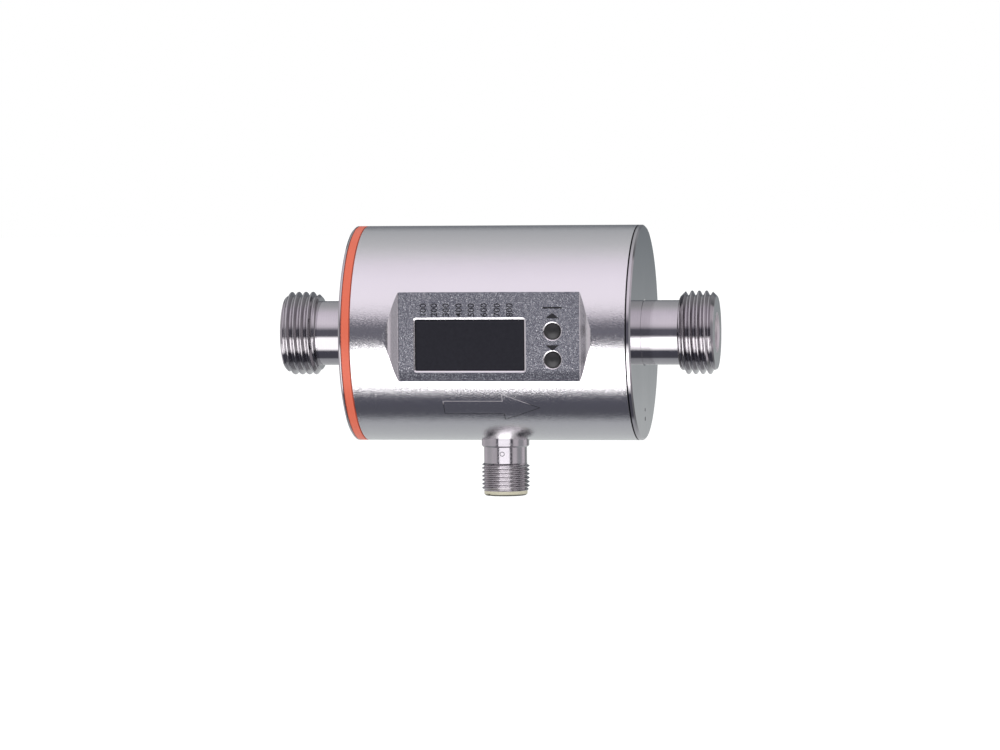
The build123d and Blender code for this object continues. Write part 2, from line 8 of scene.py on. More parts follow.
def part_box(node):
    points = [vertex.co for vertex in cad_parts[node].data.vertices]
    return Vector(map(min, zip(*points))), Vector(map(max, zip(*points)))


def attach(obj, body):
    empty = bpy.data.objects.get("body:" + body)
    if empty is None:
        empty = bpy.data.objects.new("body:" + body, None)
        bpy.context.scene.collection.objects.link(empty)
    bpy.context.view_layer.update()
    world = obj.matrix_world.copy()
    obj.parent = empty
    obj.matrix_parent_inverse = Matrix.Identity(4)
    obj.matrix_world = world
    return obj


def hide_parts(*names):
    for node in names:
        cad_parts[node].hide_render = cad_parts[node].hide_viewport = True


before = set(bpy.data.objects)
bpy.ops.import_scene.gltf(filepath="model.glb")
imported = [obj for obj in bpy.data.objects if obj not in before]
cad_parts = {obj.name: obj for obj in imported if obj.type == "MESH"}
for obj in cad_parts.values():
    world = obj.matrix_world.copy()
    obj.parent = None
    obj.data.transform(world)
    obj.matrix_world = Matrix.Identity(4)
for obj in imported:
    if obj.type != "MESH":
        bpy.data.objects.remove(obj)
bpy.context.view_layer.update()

mm = 0.001

# Camera: stands a little to the outlet side of the panel and slightly above it, well back,
# with a long lens, as for a catalogue picture.
camera_yaw = radians(9.268)
camera_height = radians(2.3)
camera_roll = radians(0.482)
camera_distance = 1237 * mm
camera_lens = 176.99
sensor_width = 36.0
camera_shift_x = -0.00073
camera_shift_y = -0.0423
camera_near = 0.01
camera_far = 50.0

toward_camera = Vector(
    (
        sin(camera_yaw) * cos(camera_height),
        -cos(camera_yaw) * cos(camera_height),
        sin(camera_height),
    )
)
level_right = Vector((cos(camera_yaw), sin(camera_yaw), 0))
level_up = toward_camera.cross(level_right)
camera_right = cos(camera_roll) * level_right - sin(camera_roll) * level_up
camera_up = sin(camera_roll) * level_right + cos(camera_roll) * level_up

camera_data = bpy.data.cameras.new("camera")
camera_data.lens = camera_lens
camera_data.sensor_width = sensor_width
camera_data.shift_x = camera_shift_x
camera_data.shift_y = camera_shift_y
camera_data.clip_start = camera_near
camera_data.clip_end = camera_far
camera = bpy.data.objects.new("camera", camera_data)
camera_axes = Matrix((camera_right, camera_up, toward_camera)).transposed().to_4x4()
camera.matrix_world = Matrix.Translation(toward_camera * camera_distance) @ camera_axes
bpy.context.scene.collection.objects.link(camera)
bpy.context.scene.camera = camera
bpy.context.scene.view_settings.view_transform = "Standard"


# Studio: a white room. What polished metal mirrors is laid out by height round the flow axis:
# a soft box above and in front, a dark gap at lens height, a white card below the lens, a black
# cloth under the meter and grey walls behind. Lower walls of pale grey stand to both sides.
def join(node, sockets):
    """Set or link input sockets of a node."""
    for socket, value in sockets.items():
        if isinstance(value, bpy.types.NodeSocket):
            node.id_data.links.new(value, node.inputs[socket])
        else:
            node.inputs[socket].default_value = value


def wire(tree, kind, sockets=None, **settings):
    """Add one shader node, set its options, and set or link its input sockets."""
    node = tree.nodes.new("ShaderNode" + kind)
    for option, value in settings.items():
        setattr(node, option, value)
    join(node, sockets or {})
    return node


def figure(tree, operation, *values):
    """One sum on numbers, as a node's output socket."""
    return wire(tree, "Math", dict(enumerate(values)), operation=operation).outputs[0]


def graded(tree, value, start, end, first=0.0, last=1.0):
    """A number that goes from first to last as a value goes from start to end."""
    sockets = {0: value, 1: start, 2: end, 3: first, 4: last}
    return wire(tree, "MapRange", sockets).outputs[0]


def scaled(tree, vector, factor):
    """A colour or a direction times a number."""
    return wire(tree, "VectorMath", {0: vector, "Scale": factor}, operation="SCALE").outputs[0]


def blended(tree, share, first, second):
    """A colour that goes from the first to the second by a mask."""
    first, second = [(*tone, 1) if isinstance(tone, tuple) else tone for tone in (first, second)]
    return wire(tree, "Mix", {0: share, 6: first, 7: second}, data_type="RGBA").outputs[2]


# Each tone stands at a height in degrees, up from straight ahead
studio_heights = [
    (-180, (0.08, 0.10, 0.12)),
    (-175, (0.66, 0.68, 0.68)),
    (-124, (0.50, 0.51, 0.53)),
    (-106, (0.44, 0.45, 0.48)),
    (-99, (0.10, 0.10, 0.12)),
    (-67, (0.10, 0.10, 0.13)),
    (-57, (1.95, 1.90, 1.94)),
    (-16, (1.95, 1.90, 1.94)),
    (-9, (0.16, 0.155, 0.19)),
    (12, (0.16, 0.155, 0.19)),
    (24, (0.88, 0.82, 0.90)),
    (36, (1.08, 1.00, 1.10)),
    (60, (1.05, 0.97, 1.08)),
    (80, (0.93, 0.86, 0.96)),
    (98, (0.72, 0.70, 0.74)),
    (112, (0.59, 0.59, 0.61)),
    (145, (0.44, 0.45, 0.47)),
    (160, (0.20, 0.21, 0.23)),
]
overhead_half_width = 0.35
overhead_fade_end = 0.65
overhead_outside = 0.4

# The side walls run from -1 at the inlet to 1 at the outlet: place, tone, and whether they show
side_walls = [
    (-1.00, (0.55, 0.53, 0.56), 1),
    (-0.97, (0.57, 0.55, 0.58), 1),
    (-0.90, (0.66, 0.62, 0.66), 1),
    (-0.84, (0.64, 0.60, 0.65), 1),
    (-0.62, (0.62, 0.58, 0.62), 1),
    (-0.58, (0.62, 0.58, 0.62), 0),
    (0.69, (0.72, 0.67, 0.72), 0),
    (0.74, (0.72, 0.67, 0.72), 1),
    (0.93, (0.72, 0.67, 0.72), 1),
    (0.965, (0.44, 0.43, 0.46), 1),
    (1.00, (0.40, 0.40, 0.43), 1),
]
side_wall_heights = [(-0.60, 0), (-0.35, 1), (0.50, 1), (0.78, 0)]
room_light = 1.06

world = bpy.data.worlds.new("studio")
world.use_nodes = True
bpy.context.scene.world = world
sky = world.node_tree
sky.nodes.clear()
direction = wire(sky, "TexCoord").outputs["Generated"]
split = wire(sky, "SeparateXYZ", {0: direction})
toward_front = figure(sky, "MULTIPLY", split.outputs["Y"], -1)
height_angle = figure(sky, "ARCTAN2", split.outputs["Z"], toward_front)


def tone_ramp(place, stops):
    """A ramp of tones over a value from 0 to 1, from (position, colour, cover) stops."""
    ramp = wire(sky, "ValToRGB", {0: place})
    elements = ramp.color_ramp.elements
    for index, (position, tone, cover) in enumerate(stops):
        stop = elements[index] if index < 2 else elements.new(position)
        stop.position = position
        stop.color = (*tone, cover)
    return ramp


turn_share = graded(sky, height_angle, -pi, pi)
bands = tone_ramp(turn_share, [(height / 360 + 0.5, tone, 1) for height, tone in studio_heights])
sideways = figure(sky, "ABSOLUTE", split.outputs["X"])
width = graded(sky, sideways, overhead_half_width, overhead_fade_end, 1.0, overhead_outside)
overhead = scaled(sky, bands.outputs["Color"], width)
side_share = graded(sky, split.outputs["X"], -1.0, 1.0)
sides = tone_ramp(side_share, [(x / 2 + 0.5, tone, cover) for x, tone, cover in side_walls])
rise_share = graded(sky, split.outputs["Z"], -1.0, 1.0)
reach = tone_ramp(rise_share, [(z / 2 + 0.5, (1, 1, 1), cover) for z, cover in side_wall_heights])
cover = figure(sky, "MULTIPLY", sides.outputs["Alpha"], reach.outputs["Alpha"])
mirrored = blended(sky, cover, overhead, sides.outputs["Color"])
rays = wire(sky, "LightPath").outputs
seen_plain = figure(sky, "MAXIMUM", rays["Is Camera Ray"], rays["Is Transmission Ray"])
soft_glow = wire(sky, "Background", {"Color": (1, 1, 1, 1), "Strength": room_light}).outputs[0]
mirror_glow = wire(sky, "Background", {"Color": mirrored, "Strength": 1.0}).outputs[0]
white_glow = wire(sky, "Background", {"Color": (1, 1, 1, 1), "Strength": 1.0}).outputs[0]
lit = wire(sky, "MixShader", {0: rays["Is Glossy Ray"], 1: soft_glow, 2: mirror_glow}).outputs[0]
shown = wire(sky, "MixShader", {0: seen_plain, 1: lit, 2: white_glow}).outputs[0]
wire(sky, "OutputWorld", {0: shown})

# Low light box: stands close in front, below the lens, and is seen only in polished metal. The
# connector mirrors it as a bright stripe.
box_left, box_right = -42 * mm, 56 * mm
box_bottom, box_top = -115 * mm, -27.3 * mm
box_y = -93 * mm
box_radiance = 1.6
box_data = bpy.data.lights.new("low_light_box", "AREA")
box_data.shape = "RECTANGLE"
box_data.size = box_right - box_left
box_data.size_y = box_top - box_bottom
box_data.energy = box_radiance * pi * box_data.size * box_data.size_y
box_data.color = (1.0, 0.96, 1.0)
light_box = bpy.data.objects.new("low_light_box", box_data)
light_box.matrix_world = Matrix.Translation(
    ((box_left + box_right) / 2, box_y, (box_bottom + box_top) / 2)
) @ Matrix.Rotation(pi / 2, 4, "X")
light_box.visible_camera = False
light_box.visible_diffuse = False
bpy.context.scene.collection.objects.link(light_box)

# Floor: a plain pale sheet some way under the meter, which hangs in its pipe line above it. It
# takes the meter's soft shadow, and polished metal doesn't mirror it.
floor_level = -0.1
floor_half_size = 6.0
floor_glow = 0.05
floor_mesh = bmesh.new()
bmesh.ops.create_grid(floor_mesh, x_segments=1, y_segments=1, size=floor_half_size)
bmesh.ops.translate(floor_mesh, vec=(0, 0, floor_level), verts=floor_mesh.verts)
floor_data = bpy.data.meshes.new("floor")
floor_mesh.to_mesh(floor_data)
floor_mesh.free()
floor = bpy.data.objects.new("floor", floor_data)
bpy.context.scene.collection.objects.link(floor)
floor_paper = bpy.data.materials.new("floor_paper")
floor_paper.use_nodes = True
paper = floor_paper.node_tree
paper.nodes.clear()
paper_rays = wire(paper, "LightPath").outputs
pale = wire(paper, "BsdfDiffuse", {"Color": (1, 1, 1, 1)}).outputs[0]
clear = wire(paper, "BsdfTransparent").outputs[0]
glow = wire(paper, "Emission", {"Strength": floor_glow}).outputs[0]
lifted = wire(paper, "AddShader", {0: pale, 1: glow}).outputs[0]
seen = wire(paper, "MixShader", {0: paper_rays["Is Camera Ray"], 1: pale, 2: lifted}).outputs[0]
look = wire(paper, "MixShader", {0: paper_rays["Is Glossy Ray"], 1: seen, 2: clear}).outputs[0]
wire(paper, "OutputMaterial", {0: look})
floor_data.materials.append(floor_paper)


# Pipe fittings: two stubs turned from stainless bar, each with an external pipe thread that is
# cut in the lathe, a faced end and a bored mouth. They screw into the pipe line.
def new_group(name, inputs, outputs):
    """An empty node group with named sockets, and its two end nodes."""
    group = bpy.data.node_groups.new(name, "ShaderNodeTree")
    for socket, kind in inputs:
        group.interface.new_socket(socket, in_out="INPUT", socket_type="NodeSocket" + kind)
    for socket, kind in outputs:
        group.interface.new_socket(socket, in_out="OUTPUT", socket_type="NodeSocket" + kind)
    return group, group.nodes.new("NodeGroupInput"), group.nodes.new("NodeGroupOutput")


def off_axis(tree, position):
    """How far a place lies along the X axis, and how far out from it."""
    parts = wire(tree, "SeparateXYZ", {0: position}).outputs
    squares = [figure(tree, "MULTIPLY", parts[axis], parts[axis]) for axis in "YZ"]
    return parts["X"], figure(tree, "SQRT", figure(tree, "ADD", *squares))


# Fine rings that a lathe tool leaves: they follow the axis on a round and the radius on a face
turning_marks, marks_in, marks_out = new_group(
    "turning_marks",
    [("Position", "Vector"), ("Feed", "Float")],
    [("Height", "Float"), ("Streak", "Float")],
)
along_axis, radius = off_axis(turning_marks, marks_in.outputs["Position"])
travel = figure(turning_marks, "ADD", along_axis, radius)
passes = figure(turning_marks, "DIVIDE", travel, marks_in.outputs["Feed"])
rings = wire(
    turning_marks,
    "TexNoise",
    {"W": passes, "Scale": 1.0, "Detail": 3.0, "Roughness": 0.7},
    noise_dimensions="1D",
)
broad = wire(
    turning_marks,
    "TexNoise",
    {"W": passes, "Scale": 0.13, "Detail": 1.0},
    noise_dimensions="1D",
)
join(marks_out, {"Height": rings.outputs["Fac"], "Streak": broad.outputs["Fac"]})

# Painted shade in the roots of a thread, as a mask that is strongest at the roots
thickest_root_shade = 0.3
root_slack = 0.985
thread_root_shade, root_shade_in, root_shade_out = new_group(
    "thread_root_shade",
    [
        ("Position", "Vector"),
        ("Middle", "Float"),
        ("Half Length", "Float"),
        ("Root", "Float"),
        ("Crest", "Float"),
    ],
    [("Mask", "Float")],
)
given = root_shade_in.outputs
along_axis, radius = off_axis(thread_root_shade, given["Position"])
sunken = graded(thread_root_shade, radius, given["Crest"], given["Root"], 0.0, thickest_root_shade)
either_end = figure(thread_root_shade, "ABSOLUTE", along_axis)
threaded = figure(thread_root_shade, "COMPARE", either_end, given["Middle"], given["Half Length"])
deepest = figure(thread_root_shade, "MULTIPLY", given["Root"], root_slack)
not_below = figure(thread_root_shade, "GREATER_THAN", radius, deepest)
settled = figure(thread_root_shade, "MULTIPLY", sunken, threaded)
join(root_shade_out, {"Mask": figure(thread_root_shade, "MULTIPLY", settled, not_below)})

# Faint cloudy wiping and handling marks, as a mask from clean to dulled
clean_cloud, dull_cloud = 0.38, 0.68
handling, handling_in, handling_out = new_group(
    "handling", [("Position", "Vector"), ("Size", "Float")], [("Mask", "Float")]
)
clouds = wire(
    handling,
    "TexNoise",
    {
        "Vector": handling_in.outputs["Position"],
        "Scale": figure(handling, "DIVIDE", 1.0, handling_in.outputs["Size"]),
        "Detail": 4.0,
        "Roughness": 0.6,
    },
)
touch_mask = graded(handling, clouds.outputs["Fac"], clean_cloud, dull_cloud)
join(handling_out, {"Mask": touch_mask})


def new_finish(name, metallic=0.0):
    """A material with a bare shader, and the object's own coordinates to work from."""
    finish = bpy.data.materials.new(name)
    finish.use_nodes = True
    tree = finish.node_tree
    tree.nodes.clear()
    shader = wire(tree, "BsdfPrincipled", {"Metallic": metallic})
    wire(tree, "OutputMaterial", {0: shader.outputs[0]})
    return finish, tree, shader, wire(tree, "TexCoord").outputs["Object"]


def dress(material, *names):
    """Give CAD nodes their finish."""
    for name in names:
        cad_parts[name].material_slots[0].material = material


def effect(tree, group, sockets):
    """Place a shared effect in a material, and return its output sockets."""
    return wire(tree, "Group", sockets, node_tree=group).outputs


def embossed(tree, height, depth, **sockets):
    """The normals of a surface that rises and falls by a height map."""
    sockets = {"Strength": 1.0, "Distance": depth, "Height": height, **sockets}
    return wire(tree, "Bump", sockets).outputs[0]


# Steel off the lathe: its colours, and what each mark adds to its shade and to its roughness
steel_bright = (0.56, 0.545, 0.56)
steel_dull = (0.50, 0.49, 0.505)
# A bore is painted a lighter tone, as light inside it
bore_painted_light = (0.86, 0.82, 0.84)
# Thread roots are painted this darker tone, as shade
root_shade_colour = (0.20, 0.185, 0.195)
ring_dark = 0.88
ring_contrast = 0.24
plain_share = 0.5
streak_share = 0.8
touch_share = 0.35
bore_roughness = 0.5
touch_size = 14 * mm


def turned_steel(name, roughness, feed, cut, centre=(0, 0, 0), turn=(0, 0, 0), thread=None, bore=0.0):
    """Stainless steel off the lathe, with its axis of turning brought onto X. Thread roots get
    painted shade, and a bore gets painted light and is left duller than the outside."""
    finish, tree, shader, position = new_finish(name, 1.0)
    moved = {"Vector": position, "Location": centre, "Rotation": turn}
    centred = wire(tree, "Mapping", moved, vector_type="POINT").outputs[0]
    marks = effect(tree, turning_marks, {"Position": centred, "Feed": feed})
    touch = effect(tree, handling, {"Position": position, "Size": touch_size})["Mask"]
    tone = blended(tree, touch, steel_bright, steel_dull)
    # Thread roots are painted darker, as shade
    if thread:
        thread_shading = effect(tree, thread_root_shade, {"Position": centred, **thread})["Mask"]
        tone = blended(tree, thread_shading, tone, root_shade_colour)
    # The bore is painted lighter, as light inside it
    drilled = figure(tree, "LESS_THAN", off_axis(tree, centred)[1], bore)
    tone = blended(tree, drilled, tone, bore_painted_light)
    shade = figure(tree, "MULTIPLY_ADD", marks["Height"], ring_contrast, ring_dark)
    handled = figure(tree, "MULTIPLY", touch, roughness * touch_share)
    streaked = figure(tree, "MULTIPLY_ADD", marks["Streak"], roughness * streak_share, handled)
    dulled = figure(tree, "MULTIPLY_ADD", drilled, bore_roughness, roughness * plain_share)
    look = {
        "Base Color": scaled(tree, tone, shade),
        "Roughness": figure(tree, "ADD", streaked, dulled),
        "Normal": embossed(tree, marks["Height"], cut),
    }
    join(shader, look)
    return finish


lathe_steps = 96
arc_steps = 4
spare_turns = 5
sharp_turn = radians(32)
same_place = 0.001 * mm
weld_distance = 0.002 * mm
cut_slack = 1e-8


def soft_edges(mesh):
    """Smooth shading with an edge kept sharp wherever the faces turn far."""
    for face in mesh.faces:
        face.smooth = True
    for edge in mesh.edges:
        edge.smooth = len(edge.link_faces) == 2 and edge.calc_face_angle(pi) < sharp_turn


def finished(mesh, name, material, body, slot, *nodes):
    """Turn a finished mesh into a piece that rides on a body and stands for its CAD nodes."""
    data = bpy.data.meshes.new(name)
    mesh.to_mesh(data)
    mesh.free()
    piece = bpy.data.objects.new(name, data)
    bpy.context.scene.collection.objects.link(piece)
    data.materials.append(material)
    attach(piece, body)
    if nodes:
        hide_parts(*nodes)
    return piece


def thread_profile(major, pitch, depth, flank):
    """One pitch of a rounded thread form, from root to root, as (along, radius) points."""
    rounding = (pitch / 2 - depth * tan(flank)) / (2 * (cos(flank) - tan(flank) * (1 - sin(flank))))
    swing = pi / 2 - flank
    crest = []
    root = []
    for step in range(-arc_steps, arc_steps + 1):
        turn = swing * step / arc_steps
        crest.append((rounding * sin(turn), major - rounding + rounding * cos(turn)))
    for step in range(arc_steps + 1):
        turn = swing * step / arc_steps
        root.append((rounding * sin(turn), major - depth + rounding - rounding * cos(turn)))
    left = [(x - pitch / 2, r) for x, r in root]
    right = [(pitch / 2 - x, r) for x, r in reversed(root)]
    return left + crest + right


def rim_at(mesh, x):
    """The open edges of the mesh in one plane across the axis."""
    return {
        edge
        for edge in mesh.edges
        if edge.is_boundary and all(abs(v.co.x - x) < same_place for v in edge.verts)
    }


def threaded_bar(profile, pitch, start, end, crest_at_top, outer_limit, inner_limit, body):
    """A threaded and turned piece along X: one turn of thread is swept as a helix and stacked,
    cut to length and held to its chamfers, and its ends are closed onto the turned body."""
    mesh = bmesh.new()
    turns = int((end - start) / pitch) + spare_turns
    first = start - spare_turns / 2 * pitch
    first += (crest_at_top - pitch / 4 - first) % pitch
    verts = [mesh.verts.new((first + x, r, 0)) for x, r in profile]
    edges = [mesh.edges.new(pair) for pair in zip(verts, verts[1:])]
    bmesh.ops.spin(
        mesh,
        geom=verts + edges,
        cent=(0, 0, 0),
        axis=(1, 0, 0),
        dvec=(pitch / lathe_steps, 0, 0),
        angle=2 * pi,
        steps=lathe_steps,
    )
    one_turn = mesh.verts[:] + mesh.edges[:] + mesh.faces[:]
    for turn in range(1, turns):
        copied = bmesh.ops.duplicate(mesh, geom=one_turn)["geom"]
        copied_verts = [item for item in copied if isinstance(item, bmesh.types.BMVert)]
        bmesh.ops.translate(mesh, vec=(turn * pitch, 0, 0), verts=copied_verts)
    bmesh.ops.remove_doubles(mesh, verts=mesh.verts, dist=weld_distance)
    for place, normal in ((start, -1), (end, 1)):
        bmesh.ops.bisect_plane(
            mesh,
            geom=mesh.verts[:] + mesh.edges[:] + mesh.faces[:],
            dist=cut_slack,
            plane_co=(place, 0, 0),
            plane_no=(normal, 0, 0),
            clear_outer=True,
        )
    for vert in mesh.verts:
        now = sqrt(vert.co.y**2 + vert.co.z**2)
        held = min(max(now, inner_limit(vert.co.x)), outer_limit(vert.co.x))
        vert.co.y *= held / now
        vert.co.z *= held / now
    outline = [mesh.verts.new((x, r, 0)) for x, r in body]
    outline_edges = [mesh.edges.new(pair) for pair in zip(outline, outline[1:])]
    bmesh.ops.spin(
        mesh,
        geom=outline + outline_edges,
        cent=(0, 0, 0),
        axis=(1, 0, 0),
        angle=2 * pi,
        steps=lathe_steps,
        use_merge=True,
    )
    for place, (rim_place, _) in ((start, body[-1]), (end, body[0])):
        bmesh.ops.bridge_loops(mesh, edges=list(rim_at(mesh, place) | rim_at(mesh, rim_place)))
    bmesh.ops.recalc_face_normals(mesh, faces=mesh.faces)
    return mesh


def ramp_between(x, x_from, x_to, value_from, value_to):
    """A value that runs straight between two places and stays level beyond them."""
    share = min(max((x - x_from) / (x_to - x_from), 0), 1)
    return value_from + share * (value_to - value_from)


fitting_low, fitting_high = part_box("outlet_fitting")
fitting_end = fitting_high.x
collar_radius = fitting_high.z
fitting_inner_end = fitting_low.x
pipe_major = 10.4775 * mm
pipe_pitch = 1.814 * mm
pipe_depth = 1.162 * mm
pipe_flank = radians(27.5)
pipe_thread_start = fitting_end - 9.0 * mm
pipe_end_chamfer = 1.35 * mm
pipe_back_radius = 9.13 * mm
pipe_runout = 1.35 * mm
stub_radius = 8.1 * mm
flow_radius = 4.5 * mm
mouth_chamfer = 0.5 * mm
fitting_seat = 34.7 * mm
collar_thickness = 2.0 * mm
socket_bottom = 30.0 * mm
socket_radius = 7.05 * mm
socket_outside = 9.45 * mm
pipe_root = pipe_major - pipe_depth
end_face_radius = pipe_major - pipe_end_chamfer
pipe_runout_end = pipe_thread_start + pipe_runout
pipe_chamfer_start = fitting_end - pipe_end_chamfer
end_bridge = 0.25 * mm
outlet_crest = 46.75 * mm
inlet_crest = 46.25 * mm
# The painted shade in the thread's roots keeps this far from its ends, roots and crests
pipe_shade_short = 0.2 * mm
pipe_shade_root = 0.15 * mm
pipe_shade_crest = 0.08 * mm
bore_margin = 0.05 * mm


def pipe_crest_limit(x):
    """How far out a crest may stand: chamfered at the end and towards the shoulder."""
    back = ramp_between(x, pipe_thread_start, pipe_runout_end, pipe_back_radius, pipe_major)
    front = ramp_between(x, pipe_chamfer_start, fitting_end, pipe_major, end_face_radius)
    return min(back, front)


def pipe_root_limit(x):
    """How deep a root may go: the tool runs out before the shoulder."""
    return ramp_between(x, pipe_thread_start, pipe_runout_end, pipe_back_radius, pipe_root)


fitting_outline = [
    (fitting_end, end_face_radius - end_bridge),
    (fitting_end, flow_radius + mouth_chamfer),
    (fitting_end - mouth_chamfer, flow_radius),
    (socket_bottom, flow_radius),
    (socket_bottom, socket_radius),
    (fitting_inner_end, socket_radius),
    (fitting_inner_end, socket_outside),
    (fitting_seat - collar_thickness, socket_outside),
    (fitting_seat - collar_thickness, collar_radius),
    (fitting_seat, collar_radius),
    (fitting_seat, stub_radius),
    (pipe_thread_start, stub_radius),
    (pipe_thread_start, pipe_back_radius - end_bridge),
]
pipe_profile = thread_profile(pipe_major, pipe_pitch, pipe_depth, pipe_flank)
fitting_steel = turned_steel(
    "fitting_steel",
    roughness=0.09,
    feed=0.16 * mm,
    cut=0.0012 * mm,
    thread={
        "Middle": (fitting_end + pipe_thread_start) / 2,
        "Half Length": (fitting_end - pipe_thread_start) / 2 - pipe_shade_short,
        "Root": pipe_root + pipe_shade_root,
        "Crest": pipe_major - pipe_shade_crest,
    },
    bore=flow_radius + mouth_chamfer + bore_margin,
)
for fitting, crest_at_top, half_turns in (
    ("outlet_fitting", outlet_crest, 0),
    ("inlet_fitting", inlet_crest, 1),
):
    bar = threaded_bar(
        pipe_profile,
        pipe_pitch,
        pipe_thread_start,
        fitting_end,
        crest_at_top,
        pipe_crest_limit,
        pipe_root_limit,
        fitting_outline,
    )
    turned_round = Matrix.Rotation(pi * half_turns, 3, "Z")
    bmesh.ops.rotate(bar, cent=(0, 0, 0), matrix=turned_round, verts=bar.verts)
    soft_edges(bar)
    finished(bar, "threaded_" + fitting, fitting_steel, "housing", "polished_steel", fitting)

# Measuring tube, seals, electrodes and probe: a moulded liner between the fittings, with black
# rubber rings and small stainless pins held by nuts.
flow_line_scale = 0.04
skin_dulling = 0.12
# Colour of the painted shade at the foot of a moulded part
foot_shade_tone = (0.075, 0.075, 0.062)
moulded_skin, skin_in, skin_out = new_group(
    "moulded_skin",
    [("Position", "Vector"), ("Grain", "Float")],
    [("Height", "Float"), ("Tone", "Float")],
)
skin_scale = figure(moulded_skin, "DIVIDE", 1.0, skin_in.outputs["Grain"])
pores = wire(
    moulded_skin,
    "TexNoise",
    {"Vector": skin_in.outputs["Position"], "Scale": skin_scale, "Detail": 3.0},
)
flow_lines = wire(
    moulded_skin,
    "TexNoise",
    {
        "Vector": skin_in.outputs["Position"],
        "Scale": figure(moulded_skin, "MULTIPLY", skin_scale, flow_line_scale),
        "Detail": 2.0,
        "Distortion": 0.6,
    },
)
join(skin_out, {"Height": pores.outputs["Fac"], "Tone": flow_lines.outputs["Fac"]})


def moulded(name, light, dark, roughness, grain, relief, shaded_foot=None):
    """A moulded plastic or rubber: slightly uneven in tone, with a fine skin. It may be painted
    darker at its foot as shade, from a height where none is painted down to one where it is full."""
    finish, tree, shader, position = new_finish(name)
    skin = effect(tree, moulded_skin, {"Position": position, "Grain": grain})
    tone = blended(tree, skin["Tone"], light, dark)
    # The foot is painted darker, as shade
    if shaded_foot:
        height = wire(tree, "SeparateXYZ", {0: position}).outputs["Z"]
        tone = blended(tree, graded(tree, height, *shaded_foot), tone, foot_shade_tone)
    rough = figure(tree, "MULTIPLY_ADD", skin["Tone"], skin_dulling, roughness - skin_dulling / 2)
    bump = embossed(tree, skin["Height"], relief)
    join(shader, {"Base Color": tone, "Roughness": rough, "Normal": bump})
    return finish


liner_plastic = moulded(
    "liner_plastic",
    light=(0.60, 0.52, 0.38),
    dark=(0.52, 0.44, 0.31),
    roughness=0.42,
    grain=0.3 * mm,
    relief=0.004 * mm,
)
dress(liner_plastic, "measuring_tube")
seal_rubber = moulded(
    "seal_rubber",
    light=(0.030, 0.030, 0.032),
    dark=(0.018, 0.018, 0.020),
    roughness=0.55,
    grain=0.2 * mm,
    relief=0.006 * mm,
)
dress(
    seal_rubber,
    "tube_seals",
    "ring_seal",
    "inlet_plate_seal",
    "outlet_plate_seal",
    "electrode_seals",
    "connector_seal",
    "window_gasket",
)
small_steel = turned_steel("small_steel", roughness=0.16, feed=0.08 * mm, cut=0.0010 * mm)
dress(
    small_steel,
    "front_electrode",
    "rear_electrode",
    "electrode_nuts",
    "temperature_probe",
    "board_screws",
)

# Magnet system: soft iron poles and yoke with a dull skin, and coils of enamelled copper wire on
# moulded bobbins.
iron_mottling = 0.3
iron_roughness = 0.25
soft_iron, tree, shader, position = new_finish("soft_iron", 1.0)
skin = wire(tree, "TexNoise", {"Vector": position, "Scale": 900.0, "Detail": 5.0}).outputs["Fac"]
look = {
    "Base Color": blended(tree, skin, (0.30, 0.29, 0.28), (0.20, 0.195, 0.19)),
    "Roughness": figure(tree, "MULTIPLY_ADD", skin, iron_mottling, iron_roughness),
}
join(shader, look)
dress(soft_iron, "upper_pole_core", "lower_pole_core", "magnet_yoke")

# The coils show their wire as rows. The wave node counts 20 radians to the unit
wire_pitch = 0.25 * mm
wire_relief = 0.05 * mm
wave_scale = 2 * pi / wire_pitch / 20
copper_wire, tree, shader, position = new_finish("copper_wire", 1.0)
waves = {"Vector": position, "Scale": wave_scale, "Distortion": 0.4, "Detail": 1.0}
layers = wire(tree, "TexWave", waves, bands_direction="Z").outputs["Fac"]
look = {
    "Base Color": blended(tree, layers, (0.38, 0.13, 0.05), (0.78, 0.36, 0.18)),
    "Roughness": 0.3,
    "Normal": embossed(tree, layers, wire_relief),
}
join(shader, look)
dress(copper_wire, "upper_coil", "lower_coil")

# Carriers, boards and cable: black moulded carriers on the yoke, green circuit boards with their
# parts, and a flat film cable between them.
carrier_plastic = moulded(
    "carrier_plastic",
    light=(0.060, 0.060, 0.062),
    dark=(0.040, 0.040, 0.043),
    roughness=0.5,
    grain=0.25 * mm,
    relief=0.006 * mm,
)
dress(carrier_plastic, "front_carrier", "rear_carrier", "upper_bobbin", "lower_bobbin")
module_plastic = moulded(
    "module_plastic",
    light=(0.045, 0.045, 0.048),
    dark=(0.030, 0.030, 0.032),
    roughness=0.38,
    grain=0.2 * mm,
    relief=0.004 * mm,
)
dress(module_plastic, "display_module", "mode_switch", "set_switch")

track_inside, track_outside = 0.18, 0.24
circuit_board, tree, shader, position = new_finish("circuit_board")
tracks = wire(
    tree,
    "TexVoronoi",
    {"Vector": position, "Scale": 420.0, "Randomness": 0.75},
    distance="MANHATTAN",
    feature="F1",
)
bare = graded(tree, tracks.outputs["Distance"], track_inside, track_outside)
look = {
    "Base Color": blended(tree, bare, (0.035, 0.20, 0.075), (0.012, 0.105, 0.045)),
    "Roughness": 0.32,
}
join(shader, look)
dress(circuit_board, "display_board", "main_board")

cable_film, tree, shader, position = new_finish("cable_film")
strands = wire(tree, "TexWave", {"Vector": position, "Scale": 320.0}, bands_direction="X")
look = {
    "Base Color": blended(tree, strands.outputs["Fac"], (0.50, 0.24, 0.06), (0.62, 0.36, 0.12)),
    "Roughness": 0.3,
}
join(shader, look)
dress(cable_film, "display_cable")
